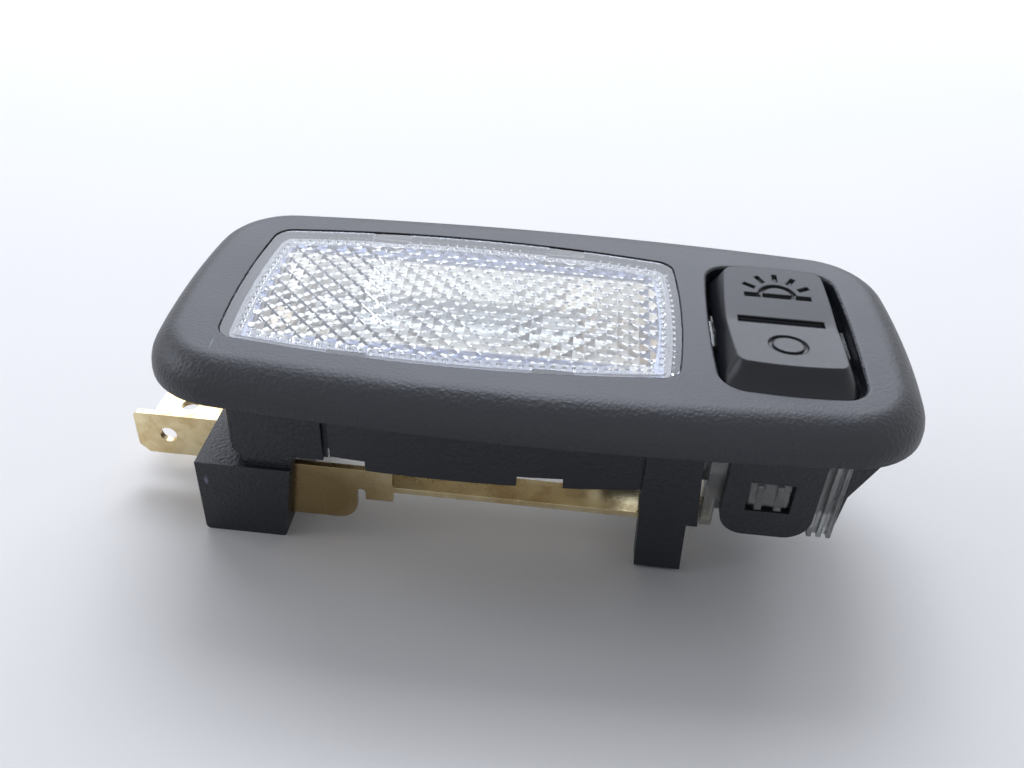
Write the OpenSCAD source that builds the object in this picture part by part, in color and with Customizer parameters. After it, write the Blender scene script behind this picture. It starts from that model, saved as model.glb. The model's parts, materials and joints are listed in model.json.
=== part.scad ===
// Car interior light: a bowed black bezel with a prismatic lens over a festoon bulb, and a rocker switch.
// The feet stand on z = 0 and the lens faces up. X runs along the lamp, with the blade terminals at -X.

/* [Bezel] */
// Length of the bezel
bezel_l = 86; // [85:0.5:88]
// Width of the bezel
bezel_w = 41.5; // [41:0.5:43]
// Bow of each long side over its length
side_bow = 2.5; // [2:0.1:3]
// Bow of each end over its width
end_bow = 2; // [1.5:0.1:2.5]
// Radius of the bezel's corners in plan
corner_r = 9.8; // [9:0.2:11]
// Radius of the rounded rim
rim_r = 4; // [3.5:0.1:4.2]
// Height of the bezel's top face above the feet
top_z = 28; // [27.8:0.1:28.6]
// Thickness of the bezel's roof
roof_t = 2; // [1.8:0.1:2.2]
// Thickness of the bezel's rim wall
rim_t = 1.8; // [1.5:0.1:2]

/* [Lens] */
// Length of the lens
lens_l = 51.4; // [50.5:0.1:51.8]
// Width of the lens
lens_w = 28; // [27.5:0.1:28.4]
// Distance between two prisms of a row
prism_px = 2.46; // [2.2:0.02:3]
// Distance between two rows of equal prisms
prism_py = 2.62; // [2.4:0.02:3]
// Height of the prisms
prism_h = 0.95; // [0.7:0.05:1]
// Thickness of the lens plate
plate_t = 1.25; // [1.1:0.05:1.4]

/* [Switch] */
// Full swing of the rocker
rocker_swing = 11; // [9:0.5:11]
// Width of the rocker's cap
cap_w = 15.5; // [15:0.1:15.6]
// Length of the rocker's cap
cap_l = 25.1; // [24.6:0.1:25.2]
// Slope of each half of the cap towards the middle
cap_slope = 5; // [4:0.2:6]
// Radius of the rocker's trunnions
trunnion_r = 1.45; // [1.3:0.05:1.45]

/* [Terminals] */
// Width of the blade terminals
blade_w = 6.3; // [6:0.1:6.4]
// Thickness of the brass strip
strip_t = 0.8; // [0.7:0.05:0.8]
// Length of a blade outside the terminal block
blade_out = 11; // [9:0.1:12]
// Diameter of the hole in a blade
blade_hole_d = 2.2; // [1.8:0.1:2.4]

/* [Bulb] */
// Length of the festoon bulb over its caps
bulb_l = 36; // [35.8:0.1:36.2]
// Diameter of the glass
glass_d = 8; // [7.6:0.1:8.6]
// Diameter of the end caps
bulb_cap_d = 7; // [6.6:0.1:7]

/* [Hidden] */

// Points of an arc: whole bows take few points, corners more
arc_n = 7;
corner_n = 11;
// Smoothness of round features
round_fn = 48;
small_fn = 32;
// Clearance between parts that slide together, and the length that a cut runs past a face
gap = 0.15;
past = 0.5;

// Terminal block and the walls below the bezel, from the middle of the bezel
block_x = [-38.75, -28.6];
block_y = [-14.3, 8];
block_h = 10.8;
wall_z = 12.5;
wall_out = 0.9;
wall_in = 0.9;
house_x = [-34.1, -23.4];
house_y = -13.6;
leg_x = [13.5, 20.6];
leg_y = [11, 13.6];
foot_z = 0.5;

// The blades' tips stand further out than the bezel, so the bezel sits off the middle of the whole lamp
tip_x = block_x[0] - blade_out;
bezel_x = -(tip_x + bezel_l / 2) / 2;

// Rim
rim_h = rim_r + 0.3;
rim_z = top_z - rim_h;
under_z = top_z - roof_t;

// Lens and light box, with the lens's middle measured from the bezel's
lens_x = -9.4;
lens_side_bow = 2.05;
lens_end_bow = 1;
lens_corner_r = 2.2;
lens_top = top_z - 0.15;
lens_valley = lens_top - plate_t;
lens_clip_x = [-20.2, 2.2];
lens_clip_w = 4.4;

// Bulb
bulb_x = -9.3;
bulb_z = 19;
clip_t = 0.5;
clip_w = 7;
clip_grip = bulb_l / 2 - 1.1;
rivet_dx = bulb_l / 2 + 3.3;
rivet_r = 1;

// Rail level: top face of the shelves that carry the strips
shelf_z = 12.6;
shelf_t = 1;

// Switch: the hinge line of the rocker, and the pivot line of the see-saw below it
switch_x = 27.7;
switch_y = -0.3;
hinge_z = 24.4;
rest_tilt = -1;
pocket_l = 26.1;
pocket_w = 16.2;
pivot_z = 14.7;
seesaw_t = 0.5;
seesaw_reach = 5.5;
seesaw_w = 4.4;
tip_h = 0.6;
cap_top = 4;
skirt_z = 1.2;
contact_d = 2.6;
floor_z = 10.8;
carrier_w = 15.8;
carrier_t = 1.2;
carrier_y = [-13.2, 12.6];
carrier_z = 23.4;
collar_t = 1.2;
collar_z = 23.8;
tongue_w = 10.4;
tongue_t = 1.3;
tongue_z = 8.6;

// Front strip: the plane of its plate and the level of its long run
plate_y = -12.5;
plate_z = [2.5, 10.5];
run_z = 7.4;
run_w = 3.8;
post_back = -11.2;
front_blade_y = -6;
rear_blade_y = 1.2;
rear_blade_z = 5.6;

// Bowed outline. Four large arcs and four corner arcs that touch them: hl and hw are half the length and
// width, sb and eb the bows of the sides and the ends, r the corner radius and d an even inset.
function bow_r(half, bow) = (half * half + bow * bow) / (2 * bow);
function arc(c, r, a, b, n, from = 0) =
    [for (i = [from:n]) c + r * [cos(a + (b - a) * i / n), sin(a + (b - a) * i / n)]];
function corner_c(cs, ce, rs, re) =
    let (v = ce - cs, l = norm(v), t = (rs * rs - re * re + l * l) / (2 * l), e = v / l)
    cs + t * e + sqrt(rs * rs - t * t) * [e.y, -e.x];
function quarter(hl, hw, sb, eb, r, d) =
    let (rs = bow_r(hl, sb), re = bow_r(hw, eb), cs = [0, hw - rs], ce = [hl - re, 0],
        cc = corner_c(cs, ce, rs - r, re - r),
        a = atan2(cc.y - ce.y, cc.x - ce.x), b = atan2(cc.y - cs.y, cc.x - cs.x))
    concat(arc(ce, re - d, 0, a, arc_n), arc(cc, r - d, a, b, corner_n, 1), arc(cs, rs - d, b, 90, arc_n, 1));
function bowed(hl, hw, sb, eb, r, d = 0) =
    let (q = quarter(hl, hw, sb, eb, r, d), n = len(q) - 1)
    concat(q, [for (i = [n - 1:-1:0]) [-q[i].x, q[i].y]], [for (i = [1:n]) -q[i]],
        [for (i = [n - 1:-1:1]) [q[i].x, -q[i].y]]);
function bezel_ring(d) = bowed(bezel_l / 2, bezel_w / 2, side_bow, end_bow, corner_r, d);
function lens_ring(d) =
    [for (p = bowed(lens_l / 2, lens_w / 2, lens_side_bow, lens_end_bow, lens_corner_r, d)) p + [lens_x, 0]];
function pocket_ring(d) =
    [for (p = bowed(pocket_l / 2, pocket_w / 2, 0.5, 0.6, 3, d)) [switch_x - p.y, switch_y + p.x]];
// Half-width of the lens outline at x, from its parabola
function lens_y(x) = lens_w / 2 - lens_side_bow * pow((x - lens_x) / (lens_l / 2), 2);
function bezel_y(x) = bezel_w / 2 - side_bow * pow(x / (bezel_l / 2), 2);

// Solid skin over a stack of rings with equal point counts, closed by its first and last ring
module skin(rings) {
    n = len(rings[0]);
    m = len(rings);
    polyhedron(
        points = [for (ring = rings) for (p = ring) p],
        faces = concat(
            [[for (i = [0:n - 1]) i]],
            [for (k = [0:m - 2]) for (i = [0:n - 1])
                let (j = (i + 1) % n) [k * n + i, (k + 1) * n + i, (k + 1) * n + j, k * n + j]],
            [[for (i = [n - 1:-1:0]) (m - 1) * n + i]]
        )
    );
}

// Round wire of radius w along a helix of radius r about Z
module helix(r, pitch, turns, w, steps, sides) {
    rings = [for (i = [0:turns * steps])
        let (a = 360 * i / steps, lift = pitch * i / steps)
        [for (k = [0:sides - 1])
            let (b = -360 * k / sides, q = r + w * cos(b)) [q * cos(a), q * sin(a), lift + w * sin(b)]]];
    skin(rings);
}

module at_bezel() {
    translate([bezel_x, 0, 0]) children();
}

// Box between two corners
module block(a, b) {
    translate(a) cube(b - a);
}

// Shape drawn in X and Z, given thickness along +Y from y
module upright(y, t) {
    translate([0, y + t, 0]) rotate([90, 0, 0]) linear_extrude(t) children();
}

// Shape drawn in Y and Z, given thickness along +X from x
module crossways(x, t) {
    translate([x, 0, 0]) rotate([90, 0, 90]) linear_extrude(t) children();
}

// Front and rear copies, mirrored in Y
module both_sides() {
    children();
    mirror([0, 1, 0]) children();
}

// Bezel shell. The rings run from the roof's underside down the inside of the rim, across the seat and up
// over the rounded rim to the top face.
module bezel_shell() {
    rim_steps = 9;
    inside = [[3.6, under_z], [2.2, under_z - 1], [rim_t, rim_z]];
    outside = concat([[0, rim_z]], [for (i = [0:rim_steps])
        let (a = 90 * i / rim_steps) [rim_r * (1 - cos(a)), top_z - rim_r + rim_r * sin(a)]]);
    skin([for (s = concat(inside, outside)) [for (p = bezel_ring(s[0])) [p.x, p.y, s[1]]]]);
}

// Light box: a wall that follows the lens outline, hung from the roof
module light_box() {
    translate([0, 0, wall_z]) linear_extrude(top_z - 1 - wall_z) polygon(lens_ring(-wall_out));
    // Pad over the terminal block, with rounded lower corners
    upright(house_y, 3.6) hull() {
        for (x = [house_x[0] + 1.2, house_x[1] - 0.6])
            translate([x, wall_z + 0.9]) circle(x < -30 ? 1.2 : 0.6, $fn = small_fn);
        translate([house_x[0], under_z]) square([house_x[1] - house_x[0], 1]);
    }
    // Shelves for the strips, below the ends of the box
    for (x = [[-34.6, -28.2], [9.5, 16]])
        block([x[0], -6, shelf_z - shelf_t], [x[1], 6, shelf_z]);
}

module light_box_space() {
    difference() {
        translate([0, 0, shelf_z]) linear_extrude(top_z) polygon(lens_ring(wall_in));
        // Ribs that carry the reflector
        for (x = [-28, lens_x, 9])
            both_sides() block([x - 0.8, lens_y(x) - 2.9, 0], [x + 0.8, lens_y(x), under_z - 1.4]);
    }
    difference() {
        translate([0, 0, wall_z - past]) linear_extrude(2) polygon(lens_ring(wall_in));
        for (x = [[-36, -28.2], [9.5, 17]])
            block([x[0], -6, wall_z - 1], [x[1], 6, shelf_z]);
        for (x = [-28, lens_x, 9])
            both_sides() block([x - 0.8, lens_y(x) - 2.9, 0], [x + 0.8, lens_y(x), under_z]);
    }
}

// Well that the lens drops into, and the windows for its hooks
module lens_well() {
    translate([0, 0, under_z]) linear_extrude(top_z) polygon(lens_ring(-gap));
    for (x = lens_clip_x) {
        block([x - lens_clip_w / 2 - 0.3, -17, 20.2], [x + lens_clip_w / 2 + 0.3, 17, 22.4]);
        both_sides() block([x - lens_clip_w / 2 - 0.3, 10, 20.2], [x + lens_clip_w / 2 + 0.3, lens_y(x) - 0.1, top_z]);
    }
}

// Notches in the lower edge of the front wall, the slot beside the pad, and the rail's notch
module wall_notches() {
    for (x = [[-23, -18.2], [-0.8, 4.5]])
        block([x[0], -17, wall_z - past], [x[1], -8, wall_z + 1.4]);
    block([house_x[1], -17, wall_z], [house_x[1] + 1.1, house_y + 0.6, 20]);
    block([-37, -17, wall_z - past], [house_x[1], house_y, rim_z + 1]);
    block([10, -2.4, shelf_z], [19, 2.4, shelf_z + strip_t + 0.1]);
}

// Terminal block, joined to the pad above it by a fillet, with cored pockets below
module terminal_block() {
    r = 0.6;
    // The side towards the lamp leans out to the top
    upright(block_y[0], block_y[1] - block_y[0]) {
        translate([block_x[0] + r, 0]) square([block_x[1] - block_x[0] - 2 * r, block_h]);
        for (x = [block_x[0] + r, block_x[1] - r])
            translate([x, r]) circle(r, $fn = small_fn);
        polygon([[block_x[0], r], [block_x[1], r], [block_x[1] + 1.3, block_h], [block_x[0], block_h]]);
    }
    // Two cheeks join it to the light box, with room for the rivet's head between them
    for (y = [[house_y, -2.6], [2.6, block_y[1] - 1]])
        block([house_x[0] + 1, y[0], block_h - 1], [block_x[1] + 1.3, y[1], wall_z + 1]);
}

module block_pockets() {
    block([-37.4, -0.6, -past], [-30, 6.4, 4.2]);
    block([-32, -10.6, -past], [-30, -7, 8]);
}

// Feet beside the switch, tapered, with a step on the side of the switch
module legs() {
    both_sides() upright(leg_y[0], leg_y[1] - leg_y[0]) polygon([[leg_x[0] + 0.6, foot_z], [leg_x[1] - 1, foot_z],
        [leg_x[1] - 1.3, 7.9], [leg_x[1], 7.9], [leg_x[1] - 0.8, 17], [leg_x[1] - 0.8, under_z + 0.5],
        [leg_x[0] - 0.1, under_z + 0.5], [leg_x[0], 13]]);
}

// Tongues with windows that hold the switch carrier, and the collar round the rocker
module tongues() {
    r = 3;
    for (y = [carrier_y[0] - gap - tongue_t, carrier_y[1] + gap])
        upright(y, tongue_t) difference() {
            union() {
                translate([switch_x - tongue_w / 2, tongue_z + r]) square([tongue_w, under_z - tongue_z - r + 0.5]);
                for (x = [-1, 1])
                    translate([switch_x + x * (tongue_w / 2 - r), tongue_z + r]) circle(r, $fn = round_fn);
                translate([switch_x - tongue_w / 2 + r, tongue_z]) square([tongue_w - 2 * r, r + 0.1]);
            }
            translate([switch_x - 2.6, 12.3]) square([5, 4.2]);
        }
    translate([0, 0, collar_z]) linear_extrude(under_z - collar_z + 0.5) polygon(pocket_ring(-collar_t));
}

// Ramp and gussets at the switch end, which guide the lamp into its cut-out
module end_ramp() {
    inner = switch_x + carrier_w / 2 + 0.1;
    for (y = [-12.6, 11.4])
        upright(y, 1.2) polygon([[inner, under_z + 0.5], [40, under_z + 0.5], [39.6, 20], [36.6, 13.8],
            [36.2, 9], [inner, 9]]);
    upright(-11.5, 23) polygon([[38.8, under_z + 0.5], [40, under_z + 0.5], [39.6, 20], [36.7, 14],
        [36.6, 12], [inner, 12], [inner, 15], [38.3, 20.6]]);
}

// Ribs between the light box and the rim, under the roof
module rim_ribs() {
    for (x = [-26, -9.3, 7.4])
        both_sides() block([x - 0.6, lens_y(x), rim_z + 0.6], [x + 0.6, bezel_y(x) - 1, under_z + 0.2]);
}

module bezel_body() {
    color("#2f3238") at_bezel() difference() {
        union() {
            bezel_shell();
            light_box();
            terminal_block();
            legs();
            tongues();
            end_ramp();
            rim_ribs();
        }
        light_box_space();
        lens_well();
        wall_notches();
        block_pockets();
        translate([0, 0, collar_z - 1]) linear_extrude(top_z) polygon(pocket_ring(0));
        // Soft edge of the pocket
        skin([for (s = [[0, -0.8], [0, -0.6], [-0.08, -0.28], [-0.28, -0.08], [-0.6, 0], [-0.6, 0.2]])
            [for (p = pocket_ring(s[0])) [p.x, p.y, top_z + s[1]]]]);
        busbar_form();
        return_form();
        for (s = [-1, 1])
            translate([bulb_x + s * rivet_dx, 0, shelf_z - shelf_t - past])
                cylinder(h = shelf_t + 2 * past, r = rivet_r, $fn = small_fn);
    }
}

// Height of the prism field over its grid: peaks and groove crossings take turns
module prism_field() {
    nx = 2 * floor((lens_l - 3.4) / prism_px);
    ny = 2 * floor((lens_w - 3.4) / prism_py);
    dx = prism_px / 2;
    dy = prism_py / 2;
    low = [for (j = [0:ny]) for (i = [0:nx])
        [(i - nx / 2) * dx, (j - ny / 2) * dy, (i + j) % 2 == 0 ? -prism_h : 0]];
    count = len(low);
    lid = 0.4;
    top = [for (p = [[-1, -1], [1, -1], [1, 1], [-1, 1]]) [p.x * nx * dx / 2, p.y * ny * dy / 2, lid]];
    polyhedron(
        points = concat(low, top),
        faces = concat(
            [for (j = [0:ny - 1]) for (i = [0:nx - 1]) for (half = [0, 1])
                let (a = j * (nx + 1) + i, b = a + 1, c = a + nx + 2, d = a + nx + 1)
                (i + j) % 2 == 0 ? (half == 0 ? [a, b, d] : [b, c, d]) : (half == 0 ? [a, b, c] : [a, c, d])],
            [[count + 3, count + 2, count + 1, count]],
            [concat([for (i = [nx:-1:0]) i], [count, count + 1])],
            [concat([for (i = [0:nx]) ny * (nx + 1) + i], [count + 2, count + 3])],
            [concat([for (j = [0:ny]) j * (nx + 1)], [count + 3, count])],
            [concat([for (j = [ny:-1:0]) j * (nx + 1) + nx], [count + 1, count + 2])]
        )
    );
}

module lens() {
    border = 2.5;
    color("#dfe6ec", 0.45) at_bezel() {
        // Plate and prisms, brought to their exact length and width as one form
        resize([lens_l, lens_w, 0]) union() {
            translate([0, 0, lens_valley]) linear_extrude(plate_t) polygon(lens_ring(0));
            difference() {
                translate([0, 0, under_z]) linear_extrude(lens_valley - under_z + 0.1) polygon(lens_ring(0));
                translate([0, 0, under_z - past]) linear_extrude(3) polygon(lens_ring(1.35));
                edge_dimples();
            }
            edge_beads();
            intersection() {
                translate([lens_x, 0, lens_valley]) prism_field();
                translate([lens_x, 0, under_z - 2]) linear_extrude(4)
                    polygon(bowed(lens_l / 2 - border, lens_w / 2 - border, lens_side_bow, lens_end_bow, 0.8));
            }
        }
        for (x = lens_clip_x)
            both_sides() lens_hook(x);
    }
}

// Places its child along a line that keeps an even inset from the lens outline, on the long sides and the ends
module along_edge(inset, pitch, ends) {
    nx = floor((lens_l / 2 - inset - 1.6) / pitch);
    ny = floor((lens_w / 2 - inset - lens_side_bow - 0.6) / pitch);
    for (i = [-nx:nx], s = [-1, 1])
        translate([lens_x + i * pitch, s * (lens_y(lens_x + i * pitch) - inset), 0]) children();
    for (i = [-ny:ny], s = ends)
        translate([lens_x + s * (lens_l / 2 - inset - lens_end_bow * pow(2 * i * pitch / lens_w, 2)), i * pitch, 0])
            children();
}

// Row of small beads inside the lens's border, and the dimples moulded into the border's foot
module edge_beads() {
    along_edge(1.95, 1.16, [-1, 1]) translate([0, 0, lens_valley - 0.42])
        cylinder(h = 0.62, r1 = 0.14, r2 = 0.5, $fn = 6);
}

module edge_dimples() {
    along_edge(0.62, 1.16, [1]) translate([0, 0, under_z - 0.05]) cylinder(h = 0.45, r1 = 0.42, r2 = 0.1, $fn = 4);
}

// Snap leg under the lens with a hook that enters a window of the light box
module lens_hook(x) {
    y = lens_y(x) - 0.35;
    crossways(x - lens_clip_w / 2, lens_clip_w)
        polygon([[y - 1.2, lens_valley + 0.2], [y - 1.2, 20.5], [y - 0.4, 20.5], [y + 0.7, 21.8], [y, 22],
            [y, lens_valley + 0.2]]);
}

// Trough under the bulb: a parabola across, sloped ends, and a rim that rests on the box's ribs
module trough(inset) {
    half = 10.6 - inset;
    low = 13.6 + inset;
    high = under_z - 0.6;
    steps = 12;
    intersection() {
        crossways(-40, 60) polygon([for (i = [-steps:steps])
            let (y = half * i / steps) [y, low + (high + past - low) * y * y / (half * half)]]);
        upright(-20, 40) polygon([[-29 + inset, low - 1], [10.4 - inset, low - 1], [14.6 - inset, high + 1],
            [-33.2 + inset, high + 1]]);
    }
}

module reflector() {
    rim_top = under_z - 0.6;
    color("#f2f2ee") at_bezel() difference() {
        union() {
            intersection() {
                trough(0);
                block([-40, -20, 0], [20, 20, rim_top]);
            }
            translate([0, 0, rim_top - 0.8]) linear_extrude(0.8) polygon(lens_ring(2));
        }
        trough(1);
        // Room for the bulb clips, and for the hooks of the lens
        for (s = [-1, 1])
            translate([bulb_x + s * (clip_grip + 1.2), 0, 15]) cube([4.4, clip_w + 0.8, 5], center = true);
        for (x = lens_clip_x)
            both_sides() block([x - lens_clip_w / 2 - 0.3, 10.8, 20], [x + lens_clip_w / 2 + 0.3, 17, rim_top + past]);
    }
}

// Turned shape about the bulb's axis, which runs along X
module bulb_turn() {
    at_bezel() translate([bulb_x, 0, bulb_z]) rotate([0, 90, 0]) rotate_extrude($fn = round_fn) children();
}

module bulb_glass() {
    r = glass_d / 2;
    neck = bulb_cap_d / 2 - 0.3;
    straight = bulb_l / 2 - 7;
    wall = 0.5;
    color("#e8eef2", 0.4) bulb_turn() polygon([[neck - wall, -straight - 2.2], [neck, -straight - 2.2],
        [neck, -straight - 0.6], [r - 0.4, -straight - 0.3], [r, -straight + 0.5], [r, straight - 0.5],
        [r - 0.4, straight + 0.3], [neck, straight + 0.6], [neck, straight + 2.2], [neck - wall, straight + 2.2],
        [neck - wall, straight + 0.3], [r - wall, straight - 0.5], [r - wall, -straight + 0.5],
        [neck - wall, -straight - 0.3]]);
}

// Rolled cap with a cone that sits in the clip's hole
module bulb_cap(side) {
    r = bulb_cap_d / 2;
    end = bulb_l / 2;
    skin_t = 0.3;
    color("#c9ccd0") bulb_turn() mirror([0, side < 0 ? 1 : 0]) polygon([[r - skin_t, end - 6.4],
        [r, end - 6.4], [r, end - 2], [1.2, end], [0, end], [0, end - skin_t], [1, end - skin_t],
        [r - skin_t, end - 2.2]]);
}

module bulb_cap_left() {
    bulb_cap(-1);
}

module bulb_cap_right() {
    bulb_cap(1);
}

// Coiled filament between two straight lead wires
module bulb_filament() {
    coil_r = 0.45;
    wire = 0.14;
    turns = 16;
    coil_l = 13;
    lead = bulb_l / 2 - 0.3;
    color("#8d8f93") at_bezel() translate([bulb_x, 0, bulb_z]) rotate([0, 90, 0]) {
        translate([0, 0, -coil_l / 2]) helix(coil_r, coil_l / turns, turns, wire, 8, 5);
        for (s = [0, 1])
            mirror([0, 0, s]) {
                translate([coil_r, 0, coil_l / 2 - 0.3]) cylinder(h = lead - coil_l / 2 + 0.3, r = 0.22, $fn = 16);
            }
    }
}

// Spring clip: an upright leaf with a hole for the cap's cone, a flared top and a foot under the rivet
module bulb_clip(side) {
    foot_z = shelf_z + strip_t;
    x0 = clip_grip - 0.1;
    lip = 23;
    color("#b9a46a") at_bezel() translate([bulb_x, 0, 0]) mirror([side < 0 ? 1 : 0, 0, 0]) difference() {
        upright(-clip_w / 2, clip_w) polygon([[x0, foot_z], [rivet_dx + 2, foot_z],
            [rivet_dx + 2, foot_z + clip_t], [x0 + clip_t, foot_z + clip_t], [x0 + clip_t, lip - 1],
            [x0 + clip_t + 0.9, lip], [x0 + 0.9, lip + 0.3], [x0, lip - 0.9]]);
        translate([0, 0, bulb_z]) rotate([0, 90, 0]) cylinder(h = bulb_l, r = 2.5, $fn = round_fn);
        translate([rivet_dx, 0, 0]) cylinder(h = bulb_z - 4, r = rivet_r, $fn = small_fn);
        // The foot is narrower than the leaf
        both_sides() block([x0 + 1.4, 2.2, foot_z - 1], [rivet_dx + 3, clip_w, foot_z + 1]);
    }
}

module left_bulb_clip() {
    bulb_clip(-1);
}

module right_bulb_clip() {
    bulb_clip(1);
}

// Hollow rivets through clip, strip and shelf
module clip_rivets() {
    low = shelf_z - shelf_t;
    high = shelf_z + strip_t + clip_t;
    color("#c8b063") at_bezel() for (s = [-1, 1])
        translate([bulb_x + s * rivet_dx, 0, 0]) rotate_extrude($fn = small_fn)
            polygon([[0.6, low - 0.4], [1.6, low - 0.4], [1.6, low], [rivet_r, low], [rivet_r, high],
                [1.7, high], [1.6, high + 0.4], [0.6, high + 0.4]]);
}

// Outline of the front strip's plate: a rounded lower corner, a notch and a short tab
module busbar_plate() {
    r = 2.5;
    right = -20;
    difference() {
        union() {
            translate([-33.8, plate_z[0]]) square([right - r + 33.8, plate_z[1] - plate_z[0]]);
            translate([-25, plate_z[0] + r]) square([right + 25, plate_z[1] - plate_z[0] - r]);
            translate([right - r, plate_z[0] + r]) circle(r, $fn = round_fn);
            translate([-20.2, 5.85]) square([4.6, plate_z[1] - 5.85]);
        }
        translate([right, 4]) square([1.1, 2.9]);
        translate([right + 0.55, 6.9]) circle(0.55, $fn = small_fn);
    }
}

// Blade outline from the tip inwards, with two chamfers and the detent hole
module blade(l, low_chamfer, high_chamfer) {
    difference() {
        polygon([[0, low_chamfer], [low_chamfer, 0], [l, 0], [l, blade_w], [high_chamfer, blade_w],
            [0, blade_w - high_chamfer]]);
        translate([4.1, blade_w / 2]) circle(blade_hole_d / 2, $fn = round_fn);
    }
}

// Front strip as far as it touches the moulding
module busbar_form() {
    upright(front_blade_y, strip_t) translate([tip_x, 4.1]) blade(-33 - tip_x, 1.2, 0.4);
    block([-33.8, plate_y, 4.1], [-33, front_blade_y + strip_t, 10.4]);
    upright(plate_y, strip_t) busbar_plate();
    block([-17, plate_y, run_z], [20.4, plate_y + run_w, run_z + strip_t]);
}

module supply_busbar() {
    arm_z = shelf_z - strip_t;
    arm_y = carrier_y[0] + carrier_t + gap;
    back_y = plate_y + run_w;
    color("#c2a14d") at_bezel() difference() {
        union() {
            busbar_form();
            // Past the foot it is narrower, rises, and runs under the see-saw
            block([20.3, post_back, run_z], [22, back_y, run_z + strip_t]);
            block([21.2, post_back, run_z], [22, back_y, shelf_z]);
            translate([0, 0, arm_z]) linear_extrude(strip_t) polygon([[21.2, post_back], [22, post_back], [22, arm_y],
                [switch_x + 2.1, arm_y], [switch_x + 2.1, -4], [switch_x - 2.1, -4], [switch_x - 2.1, back_y],
                [21.2, back_y]]);
        }
        translate([switch_x, switch_y - seesaw_reach, 0]) cylinder(h = top_z, r = 0.7, $fn = small_fn);
    }
}

// Rear strip as far as it touches the moulding: a flat blade, then a riser to the left shelf
module return_form() {
    translate([0, 0, rear_blade_z]) linear_extrude(strip_t) translate([tip_x, rear_blade_y - blade_w / 2])
        blade(-26.8 - tip_x, 1.2, 1.2);
    block([-27.6, -1.9, rear_blade_z], [-26.8, 2.5, shelf_z + strip_t]);
}

module return_terminal() {
    color("#cbb067") at_bezel() difference() {
        union() {
            return_form();
            block([-33, -1.9, shelf_z], [-26.8, 2.5, shelf_z + strip_t]);
        }
        translate([bulb_x - rivet_dx, 0, shelf_z - past]) cylinder(h = 2, r = rivet_r, $fn = small_fn);
    }
}

// Rail from the right clip to the switch, with two ears that cradle the see-saw
module lamp_rail() {
    ear_x = 3;
    color("#c6a956") at_bezel() difference() {
        union() {
            block([9.8, -2.2, shelf_z], [switch_x + ear_x + 0.4, 2.2, shelf_z + strip_t]);
            for (s = [-1, 1])
                block([switch_x + s * ear_x - 0.4, switch_y - 1.3, shelf_z],
                    [switch_x + s * ear_x + 0.4, switch_y + 1.3, pivot_z + 1]);
        }
        translate([0, switch_y, pivot_z]) rotate([0, 90, 0]) cylinder(h = 60, r = 0.55, $fn = small_fn);
        block([20, switch_y - 0.55, pivot_z], [40, switch_y + 0.55, pivot_z + 3]);
        translate([bulb_x + rivet_dx, 0, 0]) cylinder(h = top_z, r = rivet_r, $fn = small_fn);
    }
}

// Places a piece of the rocker, drawn level about its hinge line, at the rest tilt
module at_hinge() {
    at_bezel() translate([switch_x, switch_y, hinge_z]) rotate([rest_tilt, 0, 0]) children();
}

// Half outline of the cap, from the fold round one end, with its length and width inset by a and b
function half_cap(a, b) =
    let (q = quarter(cap_l / 2 - a, cap_w / 2 - b, 0.5, 0.6, 2.8 - b, 0), n = len(q) - 1)
    concat([for (i = [n:-1:1]) [q[i].y, q[i].x]], [for (i = [0:n]) [-q[i].y, q[i].x]]);

// One half of the cap: its top rises from the fold to the end, and its edges are soft, with the end inset by
// the given share
module cap_half(end) {
    rise = tan(cap_slope);
    soft = [for (q = [[0, 0, 2.6], [0.33, 0.3, 2], [0.6, 0.75, 1.25], [0.82, 1.2, 0.5], [0.93, 1.38, 0.18],
        [1, 1.5, 0]]) [q[0] * end, q[1], q[2]]];
    skin(concat([[for (p = half_cap(0, 0)) [p.x, p.y, skirt_z]]],
        [for (s = soft) [for (p = half_cap(s[0], s[1])) [p.x, p.y, cap_top + rise * p.y - s[2]]]]));
}

module rocker_cap() {
    skin_t = 1.4;
    difference() {
        union() {
            cap_half(1.35);
            rotate(180) cap_half(2.6);
        }
        difference() {
            translate([0, 0, -1]) linear_extrude(cap_top - skin_t + 1)
                polygon(concat(half_cap(skin_t, skin_t), [for (p = half_cap(skin_t, skin_t)) -p]));
            cylinder(h = 8, r = 2.8, $fn = round_fn);
            for (s = [-1, 1])
                translate([s * 5.7, 0, 2]) cube([0.9, 6.4, 8], center = true);
        }
        // Notches over the carrier's cheeks
        for (s = [-1, 1])
            translate([s * 8.25, 0, 0]) cube([4, 9.6, 4.5], center = true);
    }
}

// Sunk signs: a bar at the fold, a ring on the front half, a half sun over a line on the rear half
module rocker_signs() {
    depth = 0.35;
    sign_z = cap_top - depth;
    translate([-4.95, -0.35, sign_z]) cube([9.9, 1.2, 3]);
    rotate([-cap_slope, 0, 0]) translate([0, -5.6, sign_z]) linear_extrude(3) difference() {
        circle(2.2, $fn = round_fn);
        circle(1.7, $fn = round_fn);
    }
    rotate([cap_slope, 0, 0]) translate([0.15, 5.6, sign_z]) linear_extrude(3) {
        difference() {
            translate([-3.95, -0.4]) square([7.9, 0.8]);
            for (s = [-1, 1])
                rotate(-14 * s) translate([s * 1.95 - 0.12, -1]) square([0.24, 2]);
        }
        difference() {
            circle(2.35, $fn = round_fn);
            circle(1.75, $fn = round_fn);
            translate([-4, -4]) square([8, 4.4]);
        }
        for (a = [-60, -30, 0, 30, 60])
            rotate(a) translate([-0.3, 3]) square([0.6, 1.5]);
    }
}

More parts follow.
